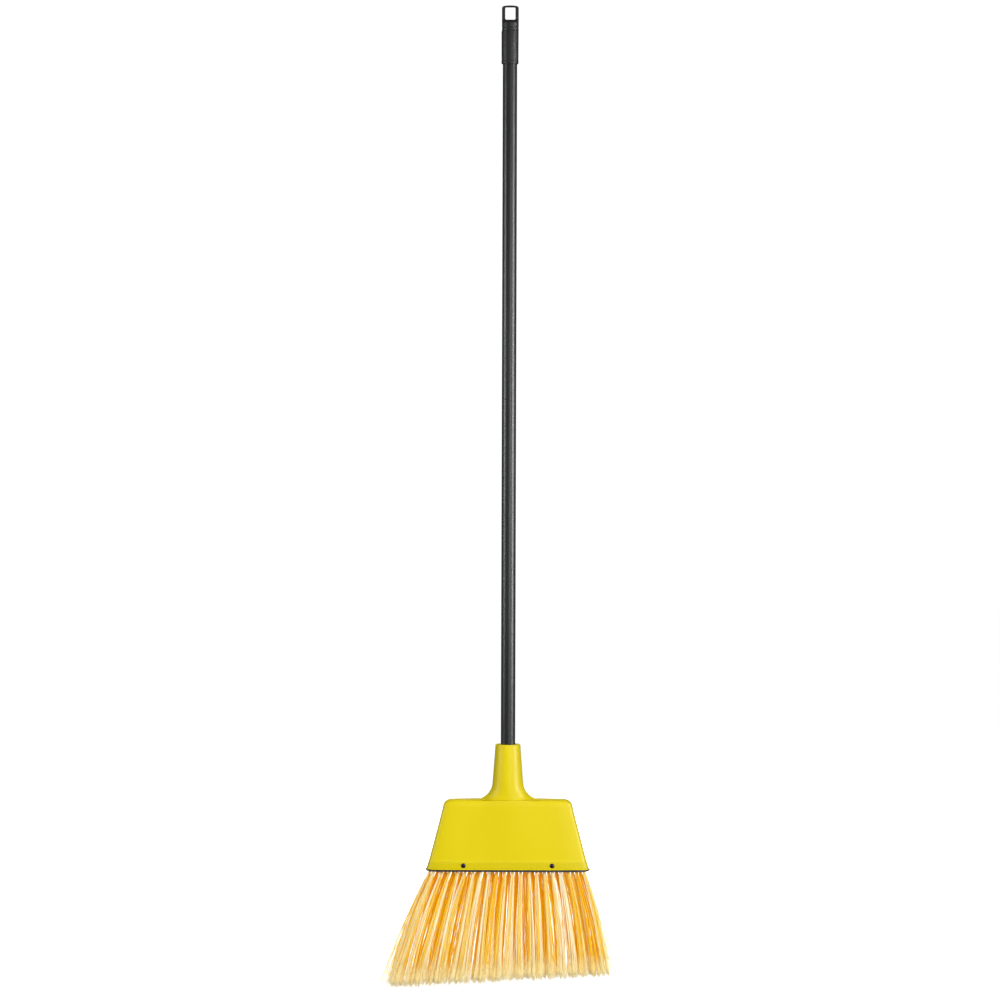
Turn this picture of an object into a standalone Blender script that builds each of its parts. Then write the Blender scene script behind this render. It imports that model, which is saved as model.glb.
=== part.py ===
"""Upright angle broom: moulded head cap, bristle block with drilled tufts, screw-in tube handle, hang cap.

Lengths in the constants are millimetres; everything is built in metres, +Z up. The broom stands upright on
the tips of its bristles. The origin is on the floor, under the middle of the whole broom, and the handle's
axis stands AXIS_X to the right of it, because the bristles reach further to the left.
"""

import math

import bmesh
import bpy
from mathutils import Matrix

MM = 0.001
GAP = 0.3            # clearance between pieces that touch

AXIS_X = 13.1        # handle axis from the middle of the broom

# handle
TUBE_R = 11.0
TUBE_WALL = 0.5
TUBE_BOTTOM = 322.0
TUBE_TOP = 1455.0
SLEEVE_BOTTOM = 1411.4
SLEEVE_TOP = 1461.6
SLEEVE_R = 12.93
SLEEVE_BORE = 11.35
SLEEVE_ROOF = 5.6
LOOP_R = 12.55
LOOP_TOP = 1500.6
WINDOW_HALF = 8.4
WINDOW_LOW = 1478.2
WINDOW_HIGH = 1498.4
BLADE_HALF = 3.8
STEM_R = 4.2

# screw joint between handle and head
PITCH = 5.08
THREAD_CORE = 8.3
THREAD_CREST = 9.5
THREAD_LOW = 288.4   # middle of the thread's first section
THREAD_TURNS = 4.5
SEAT = 316.0         # underside of the handle tip's collar
SEGMENTS = 24        # round facets per turn, shared by both threads

# head cap
CAP_BOTTOM = 181.8
BAND_TOP = 192.9
BAND_PROUD = 0.4
SHOULDER = 290.5
NECK_TOP = 372.1
CAP_HALF_WIDTH = 122.6
SIDE_SLOPE = math.tan(math.radians(14.6))
CORNER_R = 10.7
FILLET_R = 17.0
NECK_LOW_R = 23.2
NECK_TOP_R = 18.7
CAP_WALL = 2.5
CAP_HALF_DEPTH = 21.6
SHOULDER_HALF_DEPTH = 19.5
EDGE_R = 7.0
RIDGE_HALF = 22.0    # half the width of the ridge that runs down the cap's faces from the neck
FLARE_HALF = 40.0    # and its width at the shoulder, where it meets the neck's flare
RIDGE_START = 262.0  # below this height the ridge keeps its width
POWER = 6.0          # squareness of the cap's plan section

# bristle block
FLANGE_HALF_WIDTH = 125.8
FLANGE_HALF_DEPTH = 24.0
FLANGE_BOTTOM = 178.7
BLOCK_TOP = 195.0
SCREW_X = 67.5
SCREW_Z = 187.6

# bristles
TUFTS = 20
TUFT_PITCH = 12.0
ROW_FRONT = -112.0   # first tuft of the front and back rows, from the handle's axis
ROW_MID = -118.0     # first tuft of the middle row
ROW_Y = 11.0         # distance between rows at the block
TIP_ROW_Y = 20.0     # and at the tips
ROOT_R = 2.2
HOLE_DEPTH = 12.0
SPLAY = 0.4146       # sideways spread of the tips per millimetre at the root
LEAN = -10.7         # sideways shift of the middle tufts' tips
TIP_HALF_WIDTH = 8.1
TIP_HALF_DEPTH = 9.6
TRIM_SLOPE = 0.054
TRIM_X = -187.2      # where the slanted trim meets the floor
BACK_GROUPS = (2, 3, 3, 2, 2, 3, 3, 2)

for old in list(bpy.data.objects):
    bpy.data.objects.remove(old, do_unlink=True)
for spare in list(bpy.data.collections):
    bpy.data.collections.remove(spare)

parts = bpy.data.collections.new("angle_broom")
tools = bpy.data.collections.new("cutters")
bpy.context.scene.collection.children.link(parts)
bpy.context.scene.collection.children.link(tools)


def material(name, colour, roughness, metallic=0.0):
    mat = bpy.data.materials.new(name)
    mat.use_nodes = True
    shader = mat.node_tree.nodes["Principled BSDF"]
    shader.inputs["Base Color"].default_value = (*colour, 1.0)
    shader.inputs["Roughness"].default_value = roughness
    shader.inputs["Metallic"].default_value = metallic
    mat.diffuse_color = (*colour, 1.0)
    return mat


YELLOW = material("cap_yellow", (0.80, 0.66, 0.02), 0.35)
BLACK_PLASTIC = material("black_plastic", (0.03, 0.03, 0.03), 0.55)
BLACK_COAT = material("black_coating", (0.015, 0.015, 0.017), 0.28)
BLOCK = material("block_black", (0.02, 0.017, 0.02), 0.5)
ZINC = material("screw_black", (0.03, 0.025, 0.03), 0.35, 1.0)
BRISTLE = material("bristle_orange", (0.90, 0.42, 0.05), 0.45)


def place(obj, collection, mat=None, tool=False):
    """Put an object on the handle's axis, in its collection."""
    collection.objects.link(obj)
    obj.location.x = AXIS_X * MM
    if mat:
        obj.data.materials.append(mat)
    if tool:
        obj.hide_render = True
        obj.display_type = "WIRE"
    return obj


def from_bmesh(name, bm, mat=None, smooth=None):
    mesh = bpy.data.meshes.new(name)
    bm.to_mesh(mesh)
    bm.free()
    obj = bpy.data.objects.new(name, mesh)
    place(obj, parts if mat else tools, mat, tool=mat is None)
    if smooth:
        mesh.shade_smooth()
        mesh.set_sharp_from_angle(angle=math.radians(smooth))
    return obj


def turned(name, profile, mat=None, closed=False, steps=SEGMENTS):
    """A turned piece from (radius, height) points that run down its outer side."""
    bm = bmesh.new()
    verts = [bm.verts.new((r * MM, 0.0, z * MM)) for r, z in profile]
    for a, b in zip(verts, verts[1:]):
        bm.edges.new((a, b))
    if closed:
        bm.edges.new((verts[-1], verts[0]))
    obj = from_bmesh(name, bm, mat)
    screw = obj.modifiers.new("Turn", "SCREW")
    screw.axis = "Z"
    screw.steps = steps
    screw.render_steps = steps
    screw.use_merge_vertices = True
    screw.merge_threshold = 0.00001
    return obj


def loft(name, rings, mat=None, closed=True, smooth=None):
    """Skin a stack of rings with equal numbers of points, bottom to top, anticlockwise from above."""
    bm = bmesh.new()
    rows = [[bm.verts.new((x * MM, y * MM, z * MM)) for x, y, z in ring] for ring in rings]
    count = len(rows[0])
    for low, high in zip(rows, rows[1:]):
        for k in range(count):
            n = (k + 1) % count
            bm.faces.new((low[k], low[n], high[n], high[k]))
    if closed:
        bm.faces.new(reversed(rows[0]))
        bm.faces.new(rows[-1])
    return from_bmesh(name, bm, mat, smooth)


def prism(name, outline, half, matrix=Matrix(), mat=None):
    """A flat outline filled and extruded by half each way, then turned into a mesh."""
    curve = bpy.data.curves.new(name, "CURVE")
    curve.dimensions = "2D"
    curve.fill_mode = "BOTH"
    curve.extrude = half * MM
    spline = curve.splines.new("POLY")
    spline.points.add(len(outline) - 1)
    for point, (x, y) in zip(spline.points, outline):
        point.co = (x * MM, y * MM, 0.0, 1.0)
    spline.use_cyclic_u = True
    drawn = bpy.data.objects.new(name + "_outline", curve)
    tools.objects.link(drawn)
    bpy.context.view_layer.update()
    seen = drawn.evaluated_get(bpy.context.evaluated_depsgraph_get())
    mesh = bpy.data.meshes.new_from_object(seen)
    bpy.data.objects.remove(drawn, do_unlink=True)
    bm = bmesh.new()
    bm.from_mesh(mesh)
    bmesh.ops.remove_doubles(bm, verts=bm.verts, dist=0.00001)
    bmesh.ops.transform(bm, matrix=matrix, verts=bm.verts)
    bmesh.ops.recalc_face_normals(bm, faces=bm.faces)
    bpy.data.meshes.remove(mesh)
    return from_bmesh(name, bm, mat)


def rods(name, ends, radius, steps=12):
    """Round cutters, one for each pair of end points along Y."""
    bm = bmesh.new()
    turn = Matrix.Rotation(math.pi / 2, 4, "X")
    for x, z, y0, y1 in ends:
        middle = Matrix.Translation((x * MM, (y0 + y1) / 2 * MM, z * MM))
        bmesh.ops.create_cone(
            bm, cap_ends=True, segments=steps, radius1=radius * MM, radius2=radius * MM,
            depth=(y1 - y0) * MM, matrix=middle @ turn)
    return from_bmesh(name, bm)


def block_box(name, low, high):
    """A plain box cutter from its two corners."""
    bm = bmesh.new()
    size = [(b - a) * MM for a, b in zip(low, high)]
    middle = [(a + b) / 2 * MM for a, b in zip(low, high)]
    move = Matrix.Translation(middle) @ Matrix.Diagonal((*size, 1.0))
    bmesh.ops.create_cube(bm, size=1.0, matrix=move)
    return from_bmesh(name, bm)


def helix(name, low, turns, core, crest, half_root, half_crest):
    """A helical ridge: one trapezoid spun and lifted about the axis."""
    bm = bmesh.new()
    corners = ((core, low - half_root), (crest, low - half_crest),
               (crest, low + half_crest), (core, low + half_root))
    face = bm.faces.new([bm.verts.new((r * MM, 0.0, z * MM)) for r, z in corners])
    steps = round(turns * SEGMENTS)
    bmesh.ops.spin(
        bm, geom=[face, *face.edges, *face.verts], cent=(0, 0, 0), axis=(0, 0, 1),
        dvec=(0, 0, PITCH / SEGMENTS * MM), angle=2 * math.pi * turns, steps=steps)
    bmesh.ops.recalc_face_normals(bm, faces=bm.faces)
    return from_bmesh(name, bm)


def boolean(obj, tool, operation):
    mod = obj.modifiers.new(tool.name, "BOOLEAN")
    mod.operation = operation
    mod.solver = "EXACT"
    mod.object = tool


# ---------------------------------------------------------------- handle

turned("handle_tube", [
    (TUBE_R, TUBE_TOP), (TUBE_R, TUBE_BOTTOM),
    (TUBE_R - TUBE_WALL, TUBE_BOTTOM), (TUBE_R - TUBE_WALL, TUBE_TOP)],
    BLACK_COAT, closed=True, steps=32)

turned("hang_sleeve", [
    (SLEEVE_R - 0.5, SLEEVE_TOP), (SLEEVE_R, SLEEVE_TOP - 0.6),
    (SLEEVE_R - 0.17, SLEEVE_BOTTOM + 1.6), (SLEEVE_R - 0.9, SLEEVE_BOTTOM),
    (SLEEVE_BORE, SLEEVE_BOTTOM), (SLEEVE_BORE, SLEEVE_TOP - SLEEVE_ROOF),
    (STEM_R + 0.4, SLEEVE_TOP - SLEEVE_ROOF), (STEM_R + 0.4, SLEEVE_TOP)],
    BLACK_PLASTIC, closed=True, steps=32)

# hang cap: a round knob with a barbed stem, scooped to a blade front and back, with a window
base = SLEEVE_TOP + GAP
roof = SLEEVE_TOP - SLEEVE_ROOF
loop = turned("hang_loop", [
    (0.0, LOOP_TOP), (7.0, LOOP_TOP - 0.4), (10.6, LOOP_TOP - 1.3), (12.0, LOOP_TOP - 2.5),
    (LOOP_R, LOOP_TOP - 4.6), (LOOP_R, base + 5.4), (LOOP_R - 0.4, base + 5.0),
    (LOOP_R - 0.4, base + 4.6), (LOOP_R, base + 4.2), (LOOP_R, base + 0.5), (LOOP_R - 0.5, base),
    (STEM_R, base), (STEM_R, roof - GAP), (STEM_R + 1.4, roof - GAP),
    (STEM_R + 1.2, roof - 1.5), (STEM_R - 0.9, roof - 4.4), (0.0, roof - 4.4)],
    BLACK_PLASTIC, steps=32)

standing = Matrix.Rotation(math.pi / 2, 4, "X")
w, r = WINDOW_HALF, 1.6
window = []
for cx, cz, start in ((w - r, WINDOW_LOW + r, -90), (w - r, WINDOW_HIGH - r, 0),
                      (r - w, WINDOW_HIGH - r, 90), (r - w, WINDOW_LOW + r, 180)):
    for step in range(4):
        a = math.radians(start + 30 * step)
        window.append((cx + r * math.cos(a), cz + r * math.sin(a)))
boolean(loop, prism("window_cutter", window, 20.0, standing), "DIFFERENCE")

# the two scoops: a shelf that rises from the knob's face and turns up into the blade
side_view = Matrix.Rotation(math.pi / 2, 4, "Z") @ standing
for sign, name in ((-1, "scoop_front_cutter"), (1, "scoop_back_cutter")):
    shelf = [(sign * y, z) for y, z in (
        (BLADE_HALF, 1510.0), (BLADE_HALF, 1479.6), (4.7, 1477.4), (6.6, 1475.6), (9.5, 1474.2),
        (16.0, 1472.4), (16.0, 1510.0))]
    boolean(loop, prism(name, shelf, 20.0, side_view), "DIFFERENCE")

# handle tip: plug pressed into the tube, collar, and the male thread
tip = turned("threaded_tip", [
    (0.0, 352.0), (9.3, 352.0), (10.15, 350.6), (10.15, TUBE_BOTTOM - GAP),
    (TUBE_R, TUBE_BOTTOM - GAP), (TUBE_R, SEAT), (THREAD_CORE, SEAT), (THREAD_CORE, 285.0),
    (7.0, 283.4), (0.0, 283.4)], BLACK_PLASTIC)
male = helix("male_thread", THREAD_LOW, THREAD_TURNS, THREAD_CORE - 0.5, THREAD_CREST, 1.5, 0.8)
boolean(tip, male, "UNION")

# ---------------------------------------------------------------- head cap


def neck_radius(z):
    along = (z - SHOULDER - FILLET_R) / (NECK_TOP - SHOULDER - FILLET_R)
    return NECK_LOW_R + (NECK_TOP_R - NECK_LOW_R) * along


def side_half_width(z):
    return CAP_HALF_WIDTH - (z - CAP_BOTTOM) * SIDE_SLOPE


def flat_half_depth(z):
    along = (z - BAND_TOP) / (SHOULDER - CORNER_R - BAND_TOP)
    return CAP_HALF_DEPTH + (SHOULDER_HALF_DEPTH - CAP_HALF_DEPTH) * along


def middle_half_depth(z):
    """Half depth on the centre line, where the neck runs down into the cap's face."""
    along = max(0.0, (z - BAND_TOP) / (SHOULDER - BAND_TOP))
    return CAP_HALF_DEPTH + (NECK_LOW_R - CAP_HALF_DEPTH) * along ** 0.8


def cap_ring(z, width, depth, middle, power, body):
    """One plan section of the cap: a squared oval with a ridge in the middle of both faces."""
    if body:
        across = [0.0, 6.0, 12.0, 18.0, 25.0, FLARE_HALF]
        across += [width * f for f in (0.67, 0.84, 0.94, 0.985, 1.0)]
    else:
        across = [width * math.sin(math.pi / 20 * k) for k in range(11)]
    flare = max(0.0, min(1.0, (z - RIDGE_START) / (SHOULDER - RIDGE_START)))
    ridge = RIDGE_HALF + (FLARE_HALF - RIDGE_HALF) * flare ** 2
    back = []
    for x in across:
        y = depth * max(0.0, 1.0 - (x / width) ** power) ** (1.0 / power)
        if x < ridge and body:
            y += (middle - depth) * (1.0 - (x / ridge) ** 2) ** (1.6 - flare)
        back.append((x, y))
    right = back[::-1]
    left = [(-x, y) for x, y in back[1:]]
    front = [(x, -y) for x, y in (right + left)[-2:0:-1]]
    return [(x, y, z) for x, y in right + left + front]


rings = []
for z in (CAP_BOTTOM - 3.0, CAP_BOTTOM + 4.0, BAND_TOP - 0.3):
    flat = flat_half_depth(z) + BAND_PROUD
    rings.append(cap_ring(z, side_half_width(z) + BAND_PROUD, flat, flat, POWER, True))
for z in (BAND_TOP + 0.2, 206.0, 225.0, 245.0, 264.0):
    rings.append(cap_ring(z, side_half_width(z), flat_half_depth(z), middle_half_depth(z), POWER, True))
corner_z = SHOULDER - CORNER_R
corner_x = side_half_width(corner_z) - CORNER_R
for degrees in (0, 24, 46, 68, 88):
    a = math.radians(degrees)
    z = corner_z + CORNER_R * math.sin(a)
    flat = SHOULDER_HALF_DEPTH - EDGE_R + EDGE_R * math.cos(a)
    rings.append(cap_ring(z, corner_x + CORNER_R * math.cos(a), flat, middle_half_depth(z), POWER, True))
rings.append(cap_ring(SHOULDER + 0.3, 62.0, SHOULDER_HALF_DEPTH - EDGE_R, NECK_LOW_R, 5.0, True))
for degrees in (84, 62, 42, 24, 8):
    a = math.radians(degrees)
    z = SHOULDER + 0.5 + FILLET_R * (1.0 - math.sin(a))
    flared = neck_radius(z) + FILLET_R * (1.0 - math.cos(a))
    rings.append(cap_ring(z, flared, min(neck_radius(z), NECK_LOW_R), 0.0, 2.0, False))
for z in (330.0, 351.0, NECK_TOP):
    rings.append(cap_ring(z, neck_radius(z), neck_radius(z), 0.0, 2.0, False))

cap = loft("head_shell", rings, YELLOW, closed=False, smooth=35)
wall = cap.modifiers.new("Wall", "SOLIDIFY")
wall.thickness = CAP_WALL * MM
wall.offset = -1.0
wall.use_even_offset = True
wall.use_rim = True

# the handle socket inside the neck, hung from the mouth's flat ring and held by four ribs
thread_bore = THREAD_CORE + 0.35
tube_bore = TUBE_R + 0.4
socket = turned("socket_body", [
    (17.5, NECK_TOP - 0.6), (17.5, NECK_TOP - 3.6), (14.2, NECK_TOP - 4.4), (14.2, 286.0),
    (thread_bore, 286.0), (thread_bore, SEAT - GAP), (tube_bore, SEAT - GAP),
    (tube_bore, NECK_TOP - 1.4), (tube_bore + 0.7, NECK_TOP - 0.6)], closed=True)
boolean(cap, socket, "UNION")

ribs = bmesh.new()
for quarter in range(4):
    made = bmesh.ops.create_cube(ribs, size=1.0)["verts"]
    for v in made:
        z = NECK_TOP - 5.0 if v.co.z > 0 else 312.0
        reach = neck_radius(z) - 1.3 if v.co.x > 0 else 13.4
        v.co = (reach * MM, v.co.y * 2.0 * MM, z * MM)
    bmesh.ops.rotate(
        ribs, verts=made, cent=(0, 0, 0), matrix=Matrix.Rotation(math.pi / 2 * quarter, 3, "Z"))
boolean(cap, from_bmesh("socket_ribs", ribs), "UNION")

female = helix("female_thread", THREAD_LOW - 2 * PITCH, THREAD_TURNS + 4, thread_bore - 0.6,
               THREAD_CREST + 0.35, 2.15, 1.15)
above = block_box("thread_end_box", (-20, -20, SEAT - GAP), (20, 20, 340))
boolean(female, above, "DIFFERENCE")
boolean(cap, female, "DIFFERENCE")

boolean(cap, block_box("base_trim", (-160, -60, 150), (160, 60, CAP_BOTTOM)), "DIFFERENCE")
boolean(cap, rods("screw_holes", [(s * SCREW_X, SCREW_Z, -40, 40) for s in (-1, 1)], 1.9), "DIFFERENCE")

# ---------------------------------------------------------------- bristle block


def trim(x):
    """Height of the slanted trim of the bristle tips."""
    return (x - TRIM_X) * TRIM_SLOPE


def tuft_sections(root_x, root_y, extra=0.0, wide=(TIP_HALF_WIDTH, TIP_HALF_WIDTH), tip=True):
    """Rings of one tuft, tip to root: an octagon that grows from the drilled hole to the flagged tip."""
    tip_x = root_x * (1.0 + SPLAY) + LEAN
    tip_y = root_y * TIP_ROW_Y / ROW_Y
    drop = FLANGE_BOTTOM - trim(tip_x)
    lean_x = (tip_x - root_x) / drop
    lean_y = (tip_y - root_y) / drop
    found = []
    levels = [(-0.6, 0), (0.0, 0)] if not tip else [(drop, 1), (-0.6, 0)]
    for down, flared in levels + [(-HOLE_DEPTH - extra, 0)]:
        ring = []
        for k in range(8):
            a = math.radians(22.5 + 45 * k)
            c, s = math.cos(a), math.sin(a)
            if flared:
                half = wide[0] if c < 0 else wide[1]
                x = tip_x + c * half / math.cos(math.radians(22.5))
                y = tip_y + s * TIP_HALF_DEPTH / math.cos(math.radians(22.5))
                ring.append((x, y, trim(x)))
            else:
                x = root_x + lean_x * down + c * (ROOT_R + extra)
                y = root_y + lean_y * down + s * (ROOT_R + extra)
                ring.append((x, y, FLANGE_BOTTOM - down))
        found.append(ring)
    return found


def hole_sections(root_x, root_y):
    """The blind hole for one tuft, from below the flange to just past the tuft's root."""
    low, _, high = tuft_sections(root_x, root_y, GAP, tip=False)
    step = [(a - b) / (HOLE_DEPTH + GAP - 0.6) for a, b in zip(low[0], high[0])]
    below = [(x + step[0] * 4.0, y + step[1] * 4.0, z - 4.0) for x, y, z in low]
    return [below, high]


FRONT = [(ROW_FRONT + TUFT_PITCH * k, -ROW_Y) for k in range(TUFTS)]
MIDDLE = [(ROW_MID + TUFT_PITCH * k, 0.0) for k in range(TUFTS)]
BACK = [(ROW_FRONT + TUFT_PITCH * k, ROW_Y) for k in range(TUFTS)]

corner = 9.0
plate = []
for cx, cy, start in ((1, 1, 0), (-1, 1, 90), (-1, -1, 180), (1, -1, 270)):
    for step in range(4):
        a = math.radians(start + 30 * step)
        plate.append((cx * (FLANGE_HALF_WIDTH - corner) + corner * math.cos(a),
                      cy * (FLANGE_HALF_DEPTH - corner) + corner * math.sin(a)))
thick = CAP_BOTTOM - GAP - FLANGE_BOTTOM
block = prism("bristle_block", plate, thick / 2,
              Matrix.Translation((0, 0, (FLANGE_BOTTOM + thick / 2) * MM)), BLOCK)

inset = CAP_WALL + GAP + 0.1
insert_rings = []
for z in (FLANGE_BOTTOM + 1.5, BAND_TOP, BLOCK_TOP):
    proud = 0.0 if z > BAND_TOP - 1 else BAND_PROUD
    flat = flat_half_depth(max(z, CAP_BOTTOM)) + proud - inset
    half = side_half_width(max(z, CAP_BOTTOM)) + proud - inset
    insert_rings.append(cap_ring(z, half, flat, flat, POWER, True))
boolean(block, loft("block_insert", insert_rings), "UNION")

holes = bmesh.new()
for root_x, root_y in FRONT + MIDDLE + BACK:
    rows = [[holes.verts.new((x * MM, y * MM, z * MM)) for x, y, z in ring]
            for ring in hole_sections(root_x, root_y)]
    for k in range(8):
        n = (k + 1) % 8
        holes.faces.new((rows[0][k], rows[0][n], rows[1][n], rows[1][k]))
    holes.faces.new(reversed(rows[0]))
    holes.faces.new(rows[1])
boolean(block, from_bmesh("tuft_holes", holes), "DIFFERENCE")

face_y = CAP_HALF_DEPTH + BAND_PROUD + 0.25
pilots = rods("pilot_holes", [(s * SCREW_X, SCREW_Z, *span) for s in (-1, 1)
                              for span in ((-40, -15.0), (15.0, 40))], 1.9)
boolean(block, pilots, "DIFFERENCE")

# ---------------------------------------------------------------- screws

for side_x, x_name in ((-1, "left"), (1, "right")):
    for side_y, y_name in ((-1, "front"), (1, "back")):
        screw_piece = turned("screw_" + y_name + "_" + x_name, [
            (0.0, 2.3), (1.9, 2.0), (2.9, 1.3), (3.25, 0.4), (3.25, 0.0), (1.5, 0.0),
            (1.5, -5.6), (0.6, -6.8), (0.0, -6.8)], ZINC, steps=16)
        screw_piece.rotation_euler = (math.pi / 2 * -side_y, 0.0, 0.0)
        screw_piece.location = ((AXIS_X + side_x * SCREW_X) * MM, side_y * face_y * MM, SCREW_Z * MM)

# ---------------------------------------------------------------- bristle tufts

for row, stations in (("front", FRONT), ("mid", MIDDLE)):
    for k, (root_x, root_y) in enumerate(stations):
        loft(f"tuft_{row}_{k + 1:02d}", tuft_sections(root_x, root_y), BRISTLE, smooth=60)

# in the back row, neighbours have grown together at their frayed tips
first = 0
for group, count in enumerate(BACK_GROUPS):
    whole = None
    for k in range(count):
        wide = (TIP_HALF_WIDTH if k == 0 else TIP_HALF_WIDTH + 0.9,
                TIP_HALF_WIDTH if k == count - 1 else TIP_HALF_WIDTH + 0.9)
        sections = tuft_sections(*BACK[first + k], wide=wide)
        if whole is None:
            whole = loft(f"tuft_back_{group + 1}", sections, BRISTLE, smooth=60)
        else:
            boolean(whole, loft(f"back_{group + 1}_{k}", sections), "UNION")
    first += count
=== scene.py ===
"""Looks of the upright angle broom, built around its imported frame.

Lengths in the constants are millimetres. Widths are measured from the handle's axis and heights from the
floor; everything is turned into metres in the row frame when a mesh is made.
"""

import math
import random

import bmesh
import bpy
from mathutils import Matrix, Vector


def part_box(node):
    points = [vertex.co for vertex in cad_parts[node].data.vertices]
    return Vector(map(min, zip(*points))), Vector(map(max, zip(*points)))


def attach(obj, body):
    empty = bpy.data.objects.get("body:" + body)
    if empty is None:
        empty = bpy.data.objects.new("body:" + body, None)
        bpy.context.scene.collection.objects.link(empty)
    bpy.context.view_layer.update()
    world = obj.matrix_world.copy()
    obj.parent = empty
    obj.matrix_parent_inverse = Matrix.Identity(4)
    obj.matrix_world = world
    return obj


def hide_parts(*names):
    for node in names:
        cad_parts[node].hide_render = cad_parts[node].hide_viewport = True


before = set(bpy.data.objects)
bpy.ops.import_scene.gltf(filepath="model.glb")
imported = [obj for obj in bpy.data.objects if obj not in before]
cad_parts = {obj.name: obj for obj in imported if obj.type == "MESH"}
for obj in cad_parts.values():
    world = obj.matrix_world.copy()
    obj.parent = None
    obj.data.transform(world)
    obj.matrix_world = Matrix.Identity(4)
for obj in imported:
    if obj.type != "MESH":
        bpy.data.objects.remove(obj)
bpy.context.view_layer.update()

MM = 0.001


def cad(node):
    """The lowest and highest corner of a CAD node, in millimetres."""
    low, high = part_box(node)
    return low / MM, high / MM


# ---------------------------------------------------------------- sizes, from the frame where it has them

tube_low, tube_high = cad("handle_tube")
sleeve_low, sleeve_high = cad("hang_sleeve")
loop_low, loop_high = cad("hang_loop")
tip_low, tip_high = cad("threaded_tip")
cap_low, cap_high = cad("head_shell")
block_low, block_high = cad("bristle_block")
screw_low, screw_high = cad("screw_front_right")

AXIS = (tube_low.x + tube_high.x) / 2
TUBE_R = (tube_high.x - tube_low.x) / 2
SLEEVE_R = (sleeve_high.x - sleeve_low.x) / 2
LOOP_R = (loop_high.x - loop_low.x) / 2
CAP_BOTTOM, NECK_TOP = cap_low.z, cap_high.z
FLANGE_BOTTOM = block_low.z
FLANGE_HALF = (block_high.x - block_low.x) / 2
FLANGE_DEPTH = (block_high.y - block_low.y) / 2
SCREW_X = (screw_low.x + screw_high.x) / 2 - AXIS
SCREW_Z = (screw_low.z + screw_high.z) / 2 + 0.9
SCREW_R = (screw_high.x - screw_low.x) / 2 + 0.4

ROUND = 96              # facets of a turned piece
CORE = 0.05             # a turned outline this close to the axis is on it
SLEEVE_ROOF = 5.6       # thickness of the sleeve's top, which the loop's neck goes through
SLEEVE_BORE = 11.35
LOOP_SHIFT = 0.35       # the loop stands this far to the right of the tube's axis
PITCH = 5.08            # screw thread
THREAD_CORE = 8.3
THREAD_CREST = 9.5
THREAD_GAP = 0.35       # play between the tip's thread and the socket's
THREAD_LOW = 288.4
THREAD_TURNS = 4.5
TIP_LEVELS = 84         # rings along the tip's thread
SOCKET_LEVELS = 64      # rings along the socket's thread
PLUG_R = 10.15          # the tip's part inside the tube
SEAT = 316.0            # where the tube's collar rests in the neck

BAND_TOP = 194.1
BAND_PROUD = 0.4
SHOULDER = 287.6
CAP_HALF_WIDTH = 123.5
SIDE_SLOPE = math.tan(math.radians(14.6))
CORNER_R = 12.3         # the shoulder's ends, seen from the front
FILLET_R = 24.4         # between the shoulder and the neck
FILLET_LIFT = 0.5       # the fillet starts this far above the shoulder
NECK_LOW_R = 23.4
NECK_TOP_R = 18.9
RIM_R = 1.2
CAP_WALL = 2.5
CAP_HALF_DEPTH = 21.6
SHOULDER_HALF_DEPTH = 19.5
EDGE_R = 4.0            # between the cap's faces and its top
RIDGE_HALF = 24.0       # half width of the neck's run-out down the faces
FLARE_HALF = 34.0       # the same at the shoulder
RIDGE_START = 250.0
POWER = 6.0             # squareness of the cap's plan section
QUARTER = 40            # points in a quarter of the cap's plan section
CAP_LEVELS = 22         # rings between the band and the shoulder's corner

FLANGE_CORNER_R = 22.0
FLANGE_STEPS = 12       # in a corner
FLANGE_REACH = 5.0      # how much of the flange's ends is bent up
HOLE_SIDES = 16

FIBRES = 44             # bristle fibres in a tuft
STRAYS = 8              # more of them that stand off an outermost tuft
SPIRAL = 2.39996        # angle from one fibre to the next, which spreads them evenly
FIBRE_R = 0.33
FIBRE_SIDES = 5
FIBRE_LEVELS = 9
LOCKS = 6               # strands that a tuft's fibres gather into
HAIRS = 5               # fine hairs that a fibre's flagged tip splits into
HAIR_R = 0.13
FLAG_LENGTH = 24.0
TUFTS = 20
TUFT_PITCH = 12.0
ROW_FRONT = -112.0      # the first root of the front row, and of the back row
ROW_MID = -118.0
ROW_Y = 11.0
TIP_ROW_Y = 20.0
ROOT_R = 1.95
SPLAY = 0.4146          # how much wider apart the tips are than the roots
LEAN = -10.7
TIP_HALF_WIDTH = 8.6
TIP_HALF_DEPTH = 8.8
TRIM_SLOPE = 0.054
TRIM_X = -187.2         # where the slanted trim would meet the floor
BOW = 4.3               # how far the outermost tufts bow outwards half way down
LOWEST_HAIR = 0.35      # above the floor
# Painted light: the lit front row and the outermost tufts are toned pale, the shaded middle row deep orange
# and the back row in between.
ROW_PAINTED_LIGHT_TONE = {"front": 0.74, "edge": 0.66, "mid": 0.22, "back": 0.45}     # 0 is deep orange and 1 pale
BACK_GROUPS = (2, 3, 3, 2, 2, 3, 3, 2)

CAMERA_DISTANCE = 5000.0
CAMERA_X = -0.2
CAMERA_Z = 745.0
VIEW_HEIGHT = 1528.2    # what the picture takes in at the broom
CAMERA_ROLL = -0.17     # degrees
FLOOR_RADIUS = 20000.0
FLOOR_THICK = 20.0

# ---------------------------------------------------------------- materials


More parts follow.
